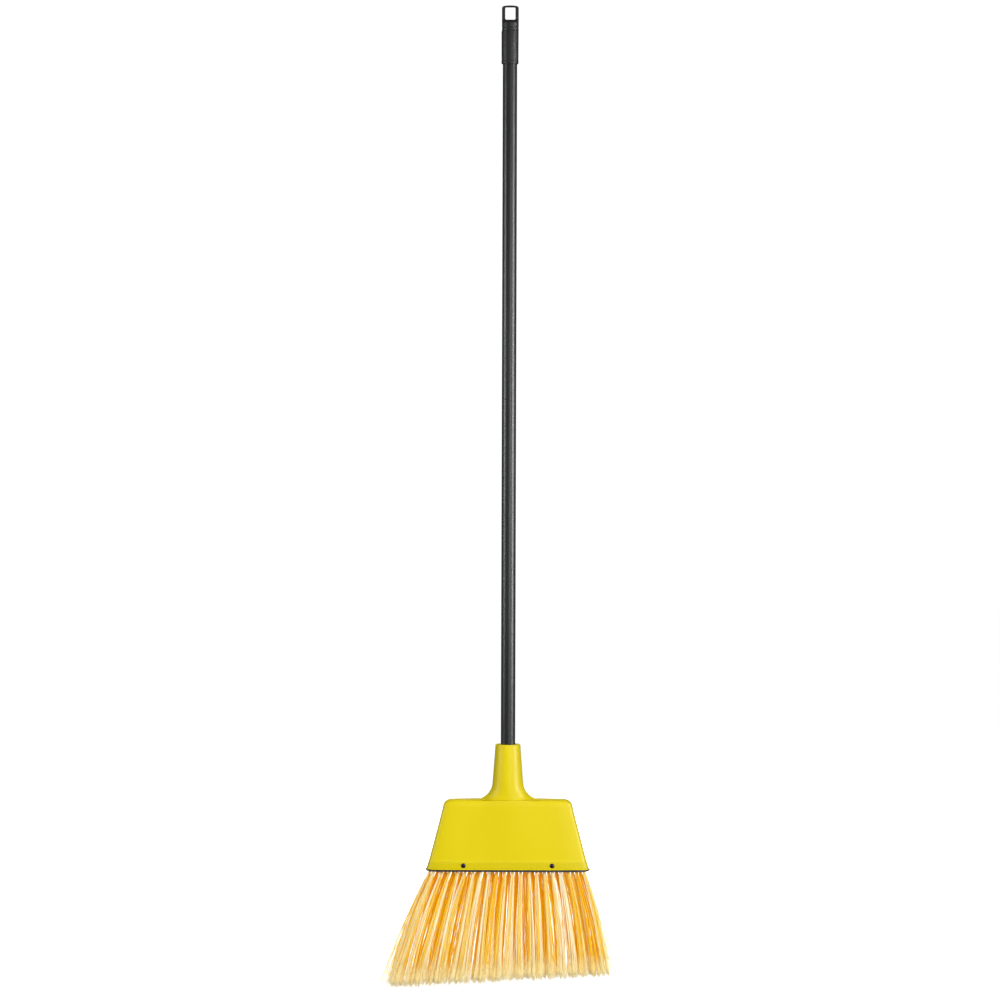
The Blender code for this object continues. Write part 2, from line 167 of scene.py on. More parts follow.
class Finish:
    """A Principled material and a short way to add nodes to it. Its pattern stays put in the row frame."""

    def __init__(self, name, **values):
        self.material = bpy.data.materials.new(name)
        self.material.use_nodes = True
        self.nodes = self.material.node_tree.nodes
        self.shader = self.nodes["Principled BSDF"]
        for socket, value in values.items():
            self.shader.inputs[socket.replace("_", " ")].default_value = value
        self.place = self.add("ShaderNodeTexCoord").outputs["Object"]

    def add(self, kind, **settings):
        node = self.nodes.new(kind)
        for key, value in settings.items():
            setattr(node, key, value)
        return node

    def link(self, source, target):
        self.material.node_tree.links.new(source, target)

    def noise(self, scale, detail=3.0, stretch=(1.0, 1.0, 1.0)):
        """Noise with scale bumps per metre, drawn out along an axis by a stretch below 1."""
        mapping = self.add("ShaderNodeMapping")
        mapping.inputs["Scale"].default_value = [scale * s for s in stretch]
        self.link(self.place, mapping.inputs["Vector"])
        noise = self.add("ShaderNodeTexNoise")
        noise.inputs["Scale"].default_value = 1.0
        noise.inputs["Detail"].default_value = detail
        self.link(mapping.outputs[0], noise.inputs["Vector"])
        return noise.outputs["Fac"]

    def height(self, low, high):
        """0 below low and 1 above high, in millimetres above the floor."""
        split = self.add("ShaderNodeSeparateXYZ")
        self.link(self.place, split.inputs[0])
        return self.spread(split.outputs["Z"], low * MM, high * MM, 0.0, 1.0)

    def spread(self, value, low, high, to_low, to_high):
        """The value taken from low..high to to_low..to_high, and held at both ends."""
        remap = self.add("ShaderNodeMapRange")
        for socket, number in zip(remap.inputs[1:5], (low, high, to_low, to_high)):
            socket.default_value = number
        self.link(value, remap.inputs[0])
        return remap.outputs[0]

    def ramp(self, value, stops):
        """A colour for each stop (position, (r, g, b))."""
        ramp = self.add("ShaderNodeValToRGB")
        while len(ramp.color_ramp.elements) < len(stops):
            ramp.color_ramp.elements.new(0.5)
        for element, (position, colour) in zip(ramp.color_ramp.elements, stops):
            element.position = position
            element.color = (*colour, 1.0)
        self.link(value, ramp.inputs[0])
        return ramp.outputs[0]

    def mix(self, share, first, second):
        """The first colour where the share is 0 and the second where it is 1."""
        node = self.add("ShaderNodeMix", data_type="RGBA")
        self.link(share, node.inputs[0])
        self.link(first, node.inputs[6])
        self.link(second, node.inputs[7])
        return node.outputs[2]

    def attribute(self, name):
        return self.add("ShaderNodeAttribute", attribute_name=name).outputs["Fac"]

    def colour(self, output):
        self.link(output, self.shader.inputs["Base Color"])

    def roughness(self, output, low, high):
        self.link(self.spread(output, 0.3, 0.7, low, high), self.shader.inputs["Roughness"])

    def bump(self, *layers):
        """Layers of (height, strength, depth in millimetres), one over another."""
        normal = None
        for height, strength, depth in layers:
            bump = self.add("ShaderNodeBump")
            bump.inputs["Strength"].default_value = strength
            bump.inputs["Distance"].default_value = depth * MM
            self.link(height, bump.inputs["Height"])
            if normal:
                self.link(normal, bump.inputs["Normal"])
            normal = bump.outputs[0]
        self.link(normal, self.shader.inputs["Normal"])


def yellow_plastic():
    """Moulded polypropylene: faint flow marks, a band of fine grain along the bottom painted darker as shade
    for its duller sheen, and a painted highlight as a bright strip on the rim under it.
    """
    finish = Finish("cap_yellow_plastic", IOR=1.49, Specular_IOR_Level=0.24)
    flow = finish.noise(14.0, 4.0, (1.0, 1.0, 0.35))
    smooth = finish.ramp(flow, [(0.3, (0.715, 0.570, 0.002)), (0.7, (0.745, 0.605, 0.004))])
    grain = finish.noise(620.0, 4.0)
    # The band's grain is real; its darker colour is painted shade for a band that catches less sheen.
    grain_and_painted_shade = finish.ramp(grain, [(0.3, (0.61, 0.485, 0.001)), (0.7, (0.69, 0.565, 0.002))])
    # Painted highlight: a brighter strip along the bottom rim.
    painted_lip_highlight = finish.ramp(flow, [(0.3, (0.86, 0.72, 0.002)), (0.7, (0.88, 0.75, 0.004))])
    band = finish.mix(finish.height(CAP_BOTTOM + 1.0, CAP_BOTTOM + 1.6), painted_lip_highlight, grain_and_painted_shade)
    finish.colour(finish.mix(finish.height(BAND_TOP - 0.6, BAND_TOP + 0.4), band, smooth))
    finish.roughness(finish.noise(55.0, 3.0), 0.36, 0.45)
    finish.bump((finish.noise(1400.0, 2.0), 0.10, 0.05), (flow, 0.25, 0.12), (grain, 0.18, 0.08))
    return finish.material


def coated_steel():
    """Black coated tube: semi-gloss with a fine orange peel and a few dull streaks along it."""
    finish = Finish("handle_black_coating", IOR=1.52)
    streak = finish.noise(260.0, 3.0, (1.0, 1.0, 0.03))
    finish.colour(finish.ramp(streak, [(0.3, (0.011, 0.012, 0.013)), (0.7, (0.018, 0.019, 0.020))]))
    finish.roughness(finish.noise(120.0, 3.0, (1.0, 1.0, 0.1)), 0.32, 0.40)
    finish.bump((finish.noise(900.0, 2.0), 0.12, 0.04))
    return finish.material


def black_plastic(name, tint, rough):
    """Matt black plastic with an eroded mould texture."""
    finish = Finish(name, IOR=1.47)
    cloud = finish.noise(180.0, 4.0)
    dark = tuple(c * 0.75 for c in tint)
    finish.colour(finish.ramp(cloud, [(0.3, dark), (0.7, tint)]))
    finish.roughness(finish.noise(400.0, 3.0), rough - 0.05, rough + 0.07)
    finish.bump((finish.noise(2300.0, 3.0), 0.30, 0.05), (cloud, 0.15, 0.08))
    return finish.material


def black_oxide():
    """Blackened screw steel, brighter where the driver rubs."""
    finish = Finish("screw_black_oxide", Metallic=1.0)
    rub = finish.noise(700.0, 3.0)
    finish.colour(finish.ramp(rub, [(0.35, (0.030, 0.024, 0.045)), (0.7, (0.085, 0.075, 0.10))]))
    finish.roughness(finish.noise(1500.0, 3.0), 0.28, 0.45)
    finish.bump((finish.noise(2600.0, 2.0), 0.2, 0.03))
    return finish.material


def bristle_fibre():
    """Orange fibre: deeper at the root as painted shade under the block, paler along its length, each one its
    own tone, which also carries its row's painted light.

    A little emission stands in for the light that comes through a translucent fibre.
    """
    finish = Finish("bristle_orange_fibre", IOR=1.49, Specular_IOR_Level=0.15, Emission_Strength=0.13,
                    Emission_Color=(1.0, 0.47, 0.003, 1.0))
    tone = finish.attribute("tone")
    # Painted shade: the root ramp is deeper orange than the middle one for the shade under the block, fading
    # out over the first 30 percent of the length.
    root = finish.ramp(tone, [(0.0, (0.80, 0.27, 0.001)), (0.4, (0.88, 0.50, 0.001)),
                              (0.7, (0.90, 0.72, 0.22)), (1.0, (0.92, 0.91, 0.72))])
    middle = finish.ramp(tone, [(0.0, (0.86, 0.42, 0.001)), (0.4, (0.90, 0.60, 0.001)),
                                (0.7, (0.91, 0.79, 0.24)), (1.0, (0.92, 0.93, 0.74))])
    flag = finish.ramp(tone, [(0.0, (0.93, 0.62, 0.13)), (0.6, (0.95, 0.80, 0.37)),
                              (1.0, (0.97, 0.90, 0.56))])
    along = finish.attribute("along")
    body = finish.mix(finish.spread(along, 0.0, 0.30, 0.0, 1.0), root, middle)
    finish.colour(finish.mix(finish.spread(along, 0.76, 0.90, 0.0, 1.0), body, flag))
    finish.roughness(finish.noise(300.0, 2.0, (1.0, 1.0, 0.2)), 0.32, 0.45)
    finish.bump((finish.noise(2500.0, 2.0, (1.0, 1.0, 0.06)), 0.2, 0.04))
    return finish.material


def bristle_tip():
    """The flagged ends: split so fine that they scatter nearly white, with a little emission as a painted
    glow.
    """
    finish = Finish("bristle_flagged_tip", IOR=1.49, Specular_IOR_Level=0.25, Emission_Strength=0.18,
                    Emission_Color=(1.0, 0.74, 0.30, 1.0))
    tone = finish.attribute("tone")
    finish.colour(finish.ramp(tone, [(0.0, (0.93, 0.70, 0.20)), (0.5, (0.95, 0.82, 0.40)),
                                     (1.0, (0.97, 0.93, 0.62))]))
    finish.roughness(finish.noise(600.0, 2.0), 0.5, 0.65)
    finish.bump((finish.noise(3000.0, 2.0, (1.0, 1.0, 0.1)), 0.2, 0.03))
    return finish.material


YELLOW = yellow_plastic()
COATING = coated_steel()
HANG_BLACK = black_plastic("hang_black_plastic", (0.015, 0.016, 0.017), 0.46)
TIP_BLACK = black_plastic("tip_black_plastic", (0.030, 0.030, 0.032), 0.50)
BLOCK_BLACK = black_plastic("block_black_plastic", (0.040, 0.030, 0.042), 0.50)
OXIDE = black_oxide()
FIBRE = bristle_fibre()
FLAG = bristle_tip()

# ---------------------------------------------------------------- mesh making


def points_of(rings):
    return [point for ring in rings for point in ring]


def new_object(name, verts, faces, materials, slot_of_face=None, smooth=35.0):
    """An object from points in millimetres about the handle's axis."""
    mesh = bpy.data.meshes.new(name)
    mesh.from_pydata([((AXIS + x) * MM, y * MM, z * MM) for x, y, z in verts], [], faces)
    for material in materials:
        mesh.materials.append(material)
    if slot_of_face:
        mesh.polygons.foreach_set("material_index", slot_of_face)
    mesh.shade_smooth()
    if smooth:
        mesh.set_sharp_from_angle(angle=math.radians(smooth))
    mesh.update()
    obj = bpy.data.objects.new(name, mesh)
    bpy.context.scene.collection.objects.link(obj)
    return obj


def stand_for(obj, body, slot, *nodes):
    """Put obj on a body in place of the CAD nodes. The slot is not used."""
    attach(obj, body)
    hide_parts(*nodes)
    return obj


def joined_rings(rings, looped):
    """Faces between rings of equal length.

    A looped row joins its last ring to its first, and any other row has both ends capped.
    """
    count = len(rings[0])
    faces = []
    pairs = [(i, i + 1) for i in range(len(rings) - 1)]
    if looped:
        pairs.append((len(rings) - 1, 0))
    for low, high in pairs:
        for k in range(count):
            n = (k + 1) % count
            faces.append((low * count + k, low * count + n, high * count + n, high * count + k))
    if not looped:
        faces.append(tuple(reversed(range(count))))
        faces.append(tuple(range((len(rings) - 1) * count, len(rings) * count)))
    return faces


def rounded(corners, steps=4, closed=True):
    """An outline whose (x, y, radius) corners are rounded by their radius."""
    found = []
    count = len(corners)
    for i, (x, y, radius) in enumerate(corners):
        here = Vector((x, y))
        if radius <= 0.0 or (not closed and i in (0, count - 1)):
            found.append((x, y))
            continue
        before = Vector(corners[i - 1][:2]) - here
        after = Vector(corners[(i + 1) % count][:2]) - here
        turn = before.angle(after)
        back = min(radius / math.tan(turn / 2), before.length * 0.49, after.length * 0.49)
        start = here + before.normalized() * back
        end = here + after.normalized() * back
        for step in range(steps + 1):
            t = step / steps
            point = start * (1 - t) ** 2 + here * 2 * t * (1 - t) + end * t ** 2
            found.append((point.x, point.y))
    return found


def turned(name, corners, material, segments=ROUND, swell=None):
    """A turned solid from (radius, height, rounding) corners.

    swell(radius, height, angle) adds to the radius. An outline that starts and ends on the axis is closed by
    small caps there, and any other one is a loop.
    """
    solid = corners[0][0] < CORE
    outline = rounded(corners, closed=not solid)
    rings = []
    for r, z in outline:
        ring = []
        for k in range(segments):
            a = 2 * math.pi * k / segments
            reach = r + (swell(r, z, a) if swell else 0.0)
            ring.append((reach * math.cos(a), reach * math.sin(a), z))
        rings.append(ring)
    return new_object(name, points_of(rings), joined_rings(rings, not solid), [material])


def apply_modifiers(obj):
    """Keep the evaluated mesh and drop the modifiers."""
    bpy.context.view_layer.update()
    seen = obj.evaluated_get(bpy.context.evaluated_depsgraph_get())
    mesh = bpy.data.meshes.new_from_object(seen)
    old = obj.data
    obj.modifiers.clear()
    obj.data = mesh
    bpy.data.meshes.remove(old)
    return obj


def cut(obj, *cutters):
    """Take the cutters out of obj, and remove them."""
    for cutter in cutters:
        boolean = obj.modifiers.new(cutter.name, "BOOLEAN")
        boolean.operation = "DIFFERENCE"
        boolean.solver = "EXACT"
        boolean.object = cutter
    apply_modifiers(obj)
    for cutter in cutters:
        bpy.data.objects.remove(cutter, do_unlink=True)
    return obj


def prism(name, outline, low, high, across):
    """An outline in the XZ plane (across Y) or the YZ plane (across X), from low to high on that axis."""
    rings = []
    for level in (low, high):
        if across == "Y":
            rings.append([(u, level, v) for u, v in outline])
        else:
            rings.append([(level, u, v) for u, v in outline])
    obj = new_object(name, points_of(rings), joined_rings(rings, False), [], smooth=None)
    bm = bmesh.new()
    bm.from_mesh(obj.data)
    bmesh.ops.recalc_face_normals(bm, faces=bm.faces)
    bm.to_mesh(obj.data)
    bm.free()
    return obj


# ---------------------------------------------------------------- handle


def thread_height(z, angle, low, turns, half_root, half_crest):
    """From 0 at a thread's root to 1 on its crest, at this height and angle."""
    lap = angle / (2 * math.pi)
    best = 0.0
    for k in range(math.ceil(turns) + 1):
        done = k + lap
        if done > turns:
            continue
        ends = min(1.0, done * 4, (turns - done) * 4)
        away = abs(z - low - PITCH * done)
        best = max(best, ends * min(1.0, max(0.0, (half_root - away) / (half_root - half_crest))))
    return best


def handle_tube():
    wall = 0.5
    corners = [(TUBE_R, tube_high.z, 0.2), (TUBE_R - wall, tube_high.z, 0.2),
               (TUBE_R - wall, tube_low.z, 0.2), (TUBE_R, tube_low.z, 0.2)]
    obj = turned("tube_skin", corners, COATING)
    return stand_for(obj, "handle", "handle_black", "handle_tube")


def hang_sleeve():
    """The sleeve pushed over the tube's end, its lower edge a little swollen."""
    hole = 4.8
    low, high = sleeve_low.z, sleeve_high.z
    roof = high - SLEEVE_ROOF
    wide = SLEEVE_R + 0.2
    corners = [(wide, high, 0.7), (hole, high, 0.2), (hole, roof, 0.2), (SLEEVE_BORE, roof, 0.4),
               (SLEEVE_BORE, low, 0.3), (wide - 0.35, low, 0.8), (wide, low + 1.6, 0.8),
               (wide, low + 3.4, 0.8), (wide - 0.2, low + 5.0, 1.0), (wide - 0.1, low + 25.0, 2.0)]
    obj = turned("sleeve_skin", corners, HANG_BLACK)
    return stand_for(obj, "handle", "hang_black", "hang_sleeve")


def threaded_tip():
    """The handle's moulded end: a plug in the tube, a collar and the thread."""
    low, high = tip_low.z, tip_high.z
    collar = tube_low.z - 0.3
    step = (SEAT - low - 1.9) / TIP_LEVELS
    corners = [(0.01, low, 0.0), (7.0, low, 0.3), (THREAD_CORE, low + 1.6, 0.3)]
    corners += [(THREAD_CORE, low + 1.8 + step * k, 0.0) for k in range(TIP_LEVELS + 1)]
    corners += [(TUBE_R, SEAT, 0.2), (TUBE_R, collar, 0.2), (PLUG_R, collar, 0.2), (PLUG_R, high - 1.4, 0.4),
                (9.3, high, 0.4), (0.01, high, 0.0)]

    def swell(r, z, angle):
        if abs(r - THREAD_CORE) > 0.001:
            return 0.0
        return (THREAD_CREST - THREAD_CORE) * thread_height(z, angle, THREAD_LOW, THREAD_TURNS, 1.5, 0.8)

    obj = turned("tip_skin", corners, TIP_BLACK, swell=swell)
    return stand_for(obj, "handle", "tip_black", "threaded_tip")


def hang_loop():
    """The knob that the broom hangs by, scooped front and back to a blade with a window through it."""
    base = sleeve_high.z + 0.3
    under = sleeve_high.z - SLEEVE_ROOF
    top = loop_high.z
    wide = LOOP_R + 0.3
    groove = wide - 0.55
    neck = 4.2
    corners = [(0.01, under - 4.4, 0.0), (3.3, under - 4.4, 0.4), (5.4, under - 1.5, 0.3),
               (5.6, under - 0.3, 0.2), (neck, under - 0.3, 0.2), (neck, base, 0.4), (wide, base, 0.6),
               (wide, base + 4.0, 0.2), (groove, base + 4.4, 0.1), (groove, base + 5.1, 0.1),
               (wide, base + 5.5, 0.2), (wide, top - 3.2, 2.0), (11.2, top - 1.1, 1.6),
               (6.5, top - 0.35, 2.0), (0.01, top, 0.0)]
    obj = turned("loop_skin", corners, HANG_BLACK)
    half, low, high, corner = 7.8, 1478.7, 1498.1, 1.8
    window = rounded([(-half, low, corner), (half, low, corner), (half, high, corner), (-half, high, corner)])
    cutters = [prism("window", window, -20.0, 20.0, "Y")]
    scoop = ((3.8, 1510.0, 0.0), (3.8, 1478.4, 2.0), (6.4, 1475.5, 2.0), (16.0, 1472.3, 0.0),
             (16.0, 1510.0, 0.0))
    for side in (-1, 1):
        outline = rounded([(side * y, z, r) for y, z, r in scoop])
        cutters.append(prism("scoop", outline, -20.0, 20.0, "X"))
    cut(obj, *cutters)
    remesh = obj.modifiers.new("Even", "REMESH")
    remesh.mode = "VOXEL"
    remesh.voxel_size = 0.34 * MM
    smooth = obj.modifiers.new("Soften", "SMOOTH")
    smooth.factor = 0.5
    smooth.iterations = 3
    apply_modifiers(obj)
    obj.data.materials.clear()
    obj.data.materials.append(HANG_BLACK)
    obj.data.shade_smooth()
    obj.data.transform(Matrix.Translation((LOOP_SHIFT * MM, 0.0, 0.0)))
    return stand_for(obj, "hanger", "hang_black", "hang_loop")


# ---------------------------------------------------------------- head cap


def neck_radius(z):
    along = (z - SHOULDER - FILLET_R) / (NECK_TOP - SHOULDER - FILLET_R)
    return NECK_LOW_R + (NECK_TOP_R - NECK_LOW_R) * along


def side_half_width(z):
    return CAP_HALF_WIDTH - (z - CAP_BOTTOM) * SIDE_SLOPE


def flat_half_depth(z):
    along = (z - BAND_TOP) / (SHOULDER - CORNER_R - BAND_TOP)
    return CAP_HALF_DEPTH + (SHOULDER_HALF_DEPTH - CAP_HALF_DEPTH) * along


def middle_half_depth(z):
    """Half depth on the centre line, where the neck runs down into the cap's face."""
    along = max(0.0, (z - BAND_TOP) / (SHOULDER - BAND_TOP))
    return CAP_HALF_DEPTH + (NECK_LOW_R - CAP_HALF_DEPTH) * along ** 0.8


def mirrored(quarter, z):
    """A whole ring at a height from its back right quarter, whose points start in the middle of the back."""
    right = quarter[::-1]
    left = [(-x, y) for x, y in quarter[1:]]
    front = [(x, -y) for x, y in (right + left)[-2:0:-1]]
    return [(x, y, z) for x, y in right + left + front]


def oval_ring(z, width, depth, inset):
    quarter = []
    for k in range(QUARTER + 1):
        angle = math.pi / 2 * k / QUARTER
        quarter.append(((width - inset) * math.sin(angle), (depth - inset) * math.cos(angle)))
    return mirrored(quarter, z)


def cap_ring(z, width, depth, middle, inset):
    """One plan section of the cap: a squared oval, with the neck's run-out as a ridge on both faces."""
    flare = max(0.0, min(1.0, (z - RIDGE_START) / (SHOULDER - RIDGE_START)))
    ridge = RIDGE_HALF + (FLARE_HALF - RIDGE_HALF) * flare ** 2
    width, depth, middle = width - inset, depth - inset, middle - inset
    quarter = []
    for k in range(QUARTER + 1):
        angle = math.pi / 2 * k / QUARTER
        x = width * math.sin(angle) ** (2 / POWER)
        y = depth * math.cos(angle) ** (2 / POWER) if k < QUARTER else 0.0
        if x < ridge:
            y += (middle - depth) * (1.0 - (x / ridge) ** 2) ** (1.8 - 0.9 * flare)
        quarter.append((x, y))
    return mirrored(quarter, z)


def cap_wall(inset):
    """The cap's rings from the bottom edge to the neck's mouth, inset by the wall for the inner side."""
    rings = []
    band_end = BAND_TOP + 0.6
    for z, proud in ((CAP_BOTTOM + 0.7, BAND_PROUD), (CAP_BOTTOM + 3.0, BAND_PROUD),
                     (BAND_TOP - 3.0, BAND_PROUD), (BAND_TOP - 0.5, BAND_PROUD),
                     (BAND_TOP - 0.1, BAND_PROUD * 0.7), (BAND_TOP + 0.2, 0.1), (band_end, 0.0)):
        flat = flat_half_depth(z) + proud
        middle = flat if z < BAND_TOP else middle_half_depth(z)
        rings.append(cap_ring(z, side_half_width(z) + proud, flat, middle, inset))
    corner_z = SHOULDER - CORNER_R
    for k in range(1, CAP_LEVELS):
        z = band_end + (corner_z - band_end) * k / CAP_LEVELS
        rings.append(cap_ring(z, side_half_width(z), flat_half_depth(z), middle_half_depth(z), inset))
    corner_x = side_half_width(corner_z) - CORNER_R
    for k in range(13):
        a = math.radians(88 * k / 12)
        z = corner_z + (CORNER_R - inset) * math.sin(a)
        flat = SHOULDER_HALF_DEPTH - EDGE_R + EDGE_R * math.cos(a)
        width = corner_x + CORNER_R * math.cos(a)
        rings.append(cap_ring(z, width, flat, middle_half_depth(min(z, SHOULDER)), inset))
    shoulder = rings[-1]
    fillet = [fillet_ring(degrees, inset) for degrees in range(84, 0, -7)]
    for share in (0.25, 0.5, 0.75):
        rings.append([tuple(p + (q - p) * share for p, q in zip(one, two))
                      for one, two in zip(shoulder, fillet[0])])
    rings += fillet
    neck_start = SHOULDER + FILLET_LIFT - inset + FILLET_R
    for k in range(1, 12):
        z = neck_start + (NECK_TOP - RIM_R - neck_start) * k / 11
        rings.append(oval_ring(z, neck_radius(z), neck_radius(z), inset))
    return rings


def fillet_ring(degrees, inset):
    """A section of the fillet between the shoulder, at 90 degrees, and the neck, at 0."""
    a = math.radians(degrees)
    z = SHOULDER + FILLET_LIFT - inset + FILLET_R * (1.0 - math.sin(a))
    flared = neck_radius(z) + FILLET_R * (1.0 - math.cos(a))
    return oval_ring(z, flared, min(neck_radius(z), NECK_LOW_R), inset)


def circle(r, z, groove=False):
    """A ring round the axis, in step with the cap's own sections; groove cuts the socket's thread."""
    found = []
    count = 4 * QUARTER
    for k in range(count):
        a = 2 * math.pi * k / count
        reach = r
        if groove:
            depth = THREAD_CREST + THREAD_GAP - r
            reach += depth * thread_height(z, a, THREAD_LOW - PITCH, THREAD_TURNS + 3, 1.75, 1.15)
        found.append((reach * math.cos(a), reach * math.sin(a), z))
    return found


def head_cap():
    """The cap's outer wall, over the rim, down the handle's socket and back up, then down the inner wall."""
    rings = cap_wall(0.0)
    for degrees in (0, 18, 36, 54, 72, 90):
        a = math.radians(degrees)
        rings.append(circle(NECK_TOP_R - RIM_R * (1 - math.cos(a)), NECK_TOP - RIM_R * (1 - math.sin(a))))
    bore = TUBE_R + 0.4
    thread_bore = THREAD_CORE + THREAD_GAP
    mouth = NECK_TOP - 0.6
    thread_top = SEAT - 0.4
    bottom = THREAD_LOW - 2.4
    for r, z in ((NECK_TOP_R - 1.5, NECK_TOP), (NECK_TOP_R - 1.9, NECK_TOP - 0.15), (NECK_TOP_R - 2.1, mouth),
                 (bore + 1.2, mouth), (bore + 0.6, mouth - 0.1), (bore + 0.1, mouth - 0.6),
                 (bore, mouth - 1.1), (bore, SEAT + 0.1), (bore, SEAT - 0.3), (bore - 0.3, SEAT - 0.3)):
        rings.append(circle(r, z))
    rings.append(circle(thread_bore + 0.3, SEAT - 0.3, groove=True))
    for k in range(SOCKET_LEVELS + 1):
        z = thread_top + (bottom - thread_top) * k / SOCKET_LEVELS
        rings.append(circle(thread_bore, z, groove=k < SOCKET_LEVELS))
    socket = 14.2
    under = NECK_TOP - 4.4
    for r, z in ((thread_bore + 0.4, bottom - 0.3), (socket - 0.4, bottom - 0.3), (socket, bottom + 0.2),
                 (socket, under - 0.6), (socket + 0.6, under), (neck_radius(under) - CAP_WALL - 0.6, under)):
        rings.append(circle(r, z))
    inner = [ring for ring in cap_wall(CAP_WALL) if ring[0][2] < under - 0.6]
    rings += inner[::-1]
    flat = flat_half_depth(CAP_BOTTOM) + BAND_PROUD
    wide = side_half_width(CAP_BOTTOM) + BAND_PROUD
    for inset, lift in ((CAP_WALL - 0.3, 0.15), (CAP_WALL - 0.7, 0.0), (0.7, 0.0), (0.2, 0.25)):
        rings.append(cap_ring(CAP_BOTTOM + lift, wide, flat, flat, inset))
    obj = new_object("cap_skin", points_of(rings), joined_rings(rings, True), [YELLOW], smooth=50.0)
    return stand_for(obj, "head", "cap_yellow", "head_shell")


# ---------------------------------------------------------------- bristle block and screws


def tuft_places():
    """Root places of the three rows of tufts, left to right."""
    front = [(ROW_FRONT + TUFT_PITCH * k, -ROW_Y) for k in range(TUFTS)]
    middle = [(ROW_MID + TUFT_PITCH * k, 0.0) for k in range(TUFTS)]
    back = [(ROW_FRONT + TUFT_PITCH * k, ROW_Y) for k in range(TUFTS)]
    return front, middle, back


def trim(x):
    """Height of the slanted trim of the bristle tips."""
    return (x - TRIM_X) * TRIM_SLOPE


def tip_place(root_x, root_y):
    tip_x = root_x * (1.0 + SPLAY) + LEAN
    return tip_x, root_y * TIP_ROW_Y / ROW_Y, trim(tip_x)


def plate_ring(inset, z):
    """A ring of the flange's outline."""
    found = []
    for cx, cy, start in ((1, 1, 0), (-1, 1, 90), (-1, -1, 180), (1, -1, 270)):
        for step in range(FLANGE_STEPS + 1):
            a = math.radians(start + 90 / FLANGE_STEPS * step)
            found.append((cx * (FLANGE_HALF - FLANGE_CORNER_R) + (FLANGE_CORNER_R - inset) * math.cos(a),
                          cy * (FLANGE_DEPTH - FLANGE_CORNER_R) + (FLANGE_CORNER_R - inset) * math.sin(a), z))
    return found


def tuft_holes():
    """A cutter with one tapered pin for each tuft, along the tuft's lean and countersunk."""
    bm = bmesh.new()
    for root_x, root_y in (place for row in tuft_places() for place in row):
        foot = Vector((root_x, root_y, FLANGE_BOTTOM))
        lean = (Vector(tip_place(root_x, root_y)) - foot).normalized()
        rings = []
        for along, radius in ((2.0, 3.6), (-0.7, 2.35), (-2.2, 2.3)):
            middle = foot + lean * along
            ring = []
            for k in range(HOLE_SIDES):
                a = 2 * math.pi * k / HOLE_SIDES
                x, y = middle.x + radius * math.cos(a), middle.y + radius * math.sin(a)
                ring.append(bm.verts.new(((AXIS + x) * MM, y * MM, middle.z * MM)))
            rings.append(ring)
        for low, high in zip(rings, rings[1:]):
            for k in range(HOLE_SIDES):
                n = (k + 1) % HOLE_SIDES
                bm.faces.new((low[k], low[n], high[n], high[k]))
        bm.faces.new(reversed(rings[0]))
        bm.faces.new(rings[-1])
    bmesh.ops.recalc_face_normals(bm, faces=bm.faces)
    mesh = bpy.data.meshes.new("holes")
    bm.to_mesh(mesh)
    bm.free()
    cutter = bpy.data.objects.new("holes", mesh)
    bpy.context.scene.collection.objects.link(cutter)
    return cutter


def block_insert(low):
    """The part of the block inside the cap."""
    rings = []
    inset = CAP_WALL + 0.4
    high = block_high.z
    for z, proud, more in ((low, BAND_PROUD, 0.0), (BAND_TOP, 0.0, 0.0), (high - 0.6, 0.0, 0.0),
                           (high, 0.0, 0.6)):
        level = max(z, CAP_BOTTOM)
        flat = flat_half_depth(level) + proud
        rings.append(cap_ring(z, side_half_width(level) + proud, flat, flat, inset + more))
    return new_object("block_insert", points_of(rings), joined_rings(rings, False), [BLOCK_BLACK])


def bristle_block():
    """The drilled block: a thin flange under the cap, with its ends a little lifted, and the part inside."""
    top = CAP_BOTTOM - 0.3
    thick = top - FLANGE_BOTTOM
    base = FLANGE_BOTTOM + 0.4
    rings = [plate_ring(0.6, base), plate_ring(0.15, base + 0.25), plate_ring(0.0, base + 0.7),
             plate_ring(0.0, top - 0.7), plate_ring(0.15, top - 0.25), plate_ring(0.6, top)]
    plate = new_object("block_skin", points_of(rings), joined_rings(rings, False), [BLOCK_BLACK], smooth=None)
    cut(plate, tuft_holes())
    for v in plate.data.vertices:
        out = abs(v.co.x / MM - AXIS) - (FLANGE_HALF - FLANGE_REACH)
        if out > 0:
            lift = 1.0 if v.co.x / MM < AXIS else 0.2
            thin = 2.1 * (top - v.co.z / MM) / thick
            v.co.z += (lift + thin) * MM * (out / FLANGE_REACH) ** 2
    inside = block_insert(top - 0.4)
    bm = bmesh.new()
    bm.from_mesh(plate.data)
    bm.from_mesh(inside.data)
    bm.to_mesh(plate.data)
    bm.free()
    bpy.data.objects.remove(inside, do_unlink=True)
    plate.data.shade_smooth()
    plate.data.set_sharp_from_angle(angle=math.radians(40))
    return stand_for(plate, "head", "block_black", "bristle_block")


